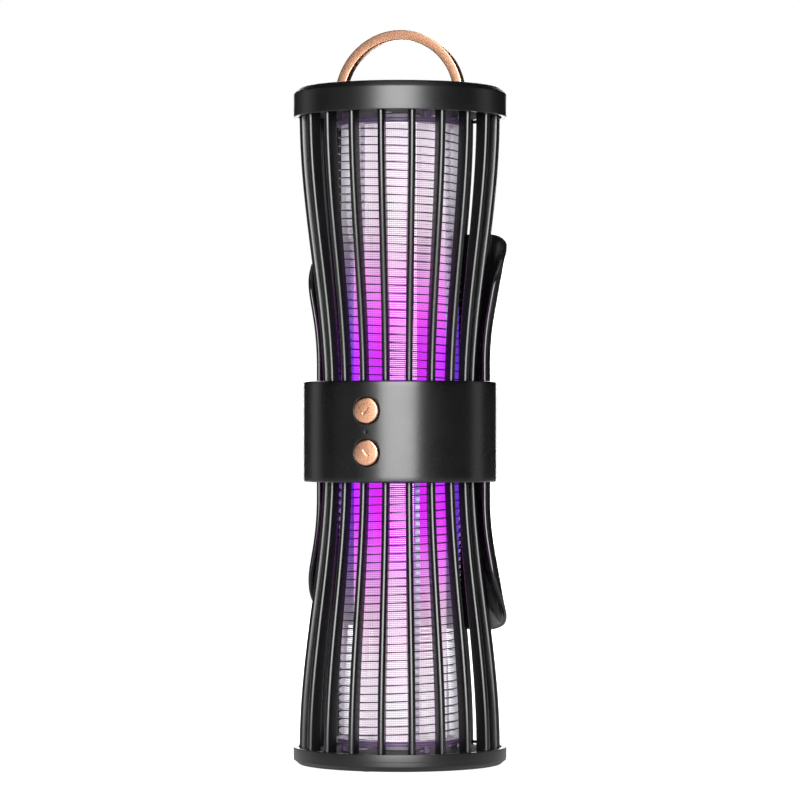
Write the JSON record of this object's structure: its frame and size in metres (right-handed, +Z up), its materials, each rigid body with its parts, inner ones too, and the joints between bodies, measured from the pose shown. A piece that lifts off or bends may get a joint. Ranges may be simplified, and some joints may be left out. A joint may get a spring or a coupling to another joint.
{
  "type": "electric bug zapper",
  "caption": "Waisted cylindrical bug zapper with finned light chambers, a two-button collar, a rear shield and a folding carry handle.",
  "frame": {"origin": "centre of the foot pad, on the surface the zapper stands on", "axes": "+Z up along the body, -Y towards the two buttons, +X along the handle's pivot line"},
  "size_m": [0.096, 0.0978, 0.3307],
  "materials": {
    "satin_black_shell": "satin moulded ABS",
    "satin_black_collar": "satin moulded ABS",
    "black_fins": "semi-gloss moulded ABS",
    "black_shield": "gloss moulded ABS",
    "rose_gold": "anodised, satin",
    "screw_steel": "zinc plated",
    "inner_plastic": "moulded",
    "lamp_glass": "lit violet tube",
    "lamp_metal": "drawn",
    "holder_grey": "moulded",
    "mesh_steel": "fine woven mesh",
    "grid_wire": "drawn wire",
    "grid_plastic": "moulded",
    "circuit_board": "solder mask",
    "switch_black": "moulded",
    "plunger_white": "moulded",
    "light_guide": "clear moulded",
    "cell_wrap": "shrink wrap",
    "lead_insulation": "silicone",
    "potting": "potted block",
    "socket_steel": "drawn shell",
    "soft_rubber": "moulded silicone"
  },
  "bodies": {
    "zapper_body": {"top_cap": "satin_black_shell", "base_cover": "satin_black_shell", "collar": "satin_black_collar", "upper_fins": "black_fins", "lower_fins": "black_fins", "upper_fin_rings": "black_fins", "lower_fin_rings": "black_fins", "upper_shield": "black_shield", "lower_shield": "black_shield", "handle_pins": "screw_steel", "end_plate_screws": "screw_steel", "cap_screws": "screw_steel", "base_screws": "screw_steel", "waist_screws": "screw_steel", "collar_screws": "screw_steel", "core_drum": "inner_plastic", "upper_deck": "inner_plastic", "lower_deck": "inner_plastic", "upper_end_plate": "inner_plastic", "lower_end_plate": "inner_plastic", "upper_lamp": "lamp_glass", "lower_lamp": "lamp_glass", "upper_lamp_ends": "lamp_metal", "lower_lamp_ends": "lamp_metal", "upper_lamp_holder": "holder_grey", "lower_lamp_holder": "holder_grey", "collar_lamp_sockets": "holder_grey", "upper_mesh_tube": "mesh_steel", "lower_mesh_tube": "mesh_steel", "upper_gauze": "mesh_steel", "lower_gauze": "mesh_steel", "upper_live_wires": "grid_wire", "upper_return_wires": "grid_wire", "lower_live_wires": "grid_wire", "lower_return_wires": "grid_wire", "upper_grid_posts": "grid_plastic", "lower_grid_posts": "grid_plastic", "grid_end_rings": "grid_plastic", "switch_board": "circuit_board", "charging_board": "circuit_board", "tact_switches": "switch_black", "indicator_pipe": "light_guide", "battery_cell": "cell_wrap", "battery_leads": "lead_insulation", "upper_hv_leads": "lead_insulation", "lower_hv_leads": "lead_insulation", "hv_module": "potting", "usb_socket": "socket_steel", "foot_pad": "soft_rubber", "plug_tether": "soft_rubber"},
    "handle": {"handle": "rose_gold"},
    "upper_button": {"upper_button": "rose_gold", "upper_plunger": "plunger_white"},
    "lower_button": {"lower_button": "rose_gold", "lower_plunger": "plunger_white"},
    "port_plug": {"port_plug": "soft_rubber"}
  },
  "joints": [
    {"name": "handle_fold", "type": "hinge", "parent": "zapper_body", "child": "handle", "pos_m": [0, 0, 0.2999], "axis": [1, 0, 0], "range_deg": [-90, 90]},
    {"name": "upper_button_press", "type": "slide", "parent": "zapper_body", "child": "upper_button", "axis": [0, 1, 0], "range_m": [0, 0.0006], "stiffness_N_per_m": 1500, "springref_m": -0.001},
    {"name": "lower_button_press", "type": "slide", "parent": "zapper_body", "child": "lower_button", "axis": [0, 1, 0], "range_m": [0, 0.0006], "stiffness_N_per_m": 1500, "springref_m": -0.001},
    {"name": "port_plug_open", "type": "hinge", "parent": "zapper_body", "child": "port_plug", "pos_m": [-0.0065, 0.043, 0.1497], "axis": [0, 0, 1], "range_deg": [0, 110]}
  ]
}
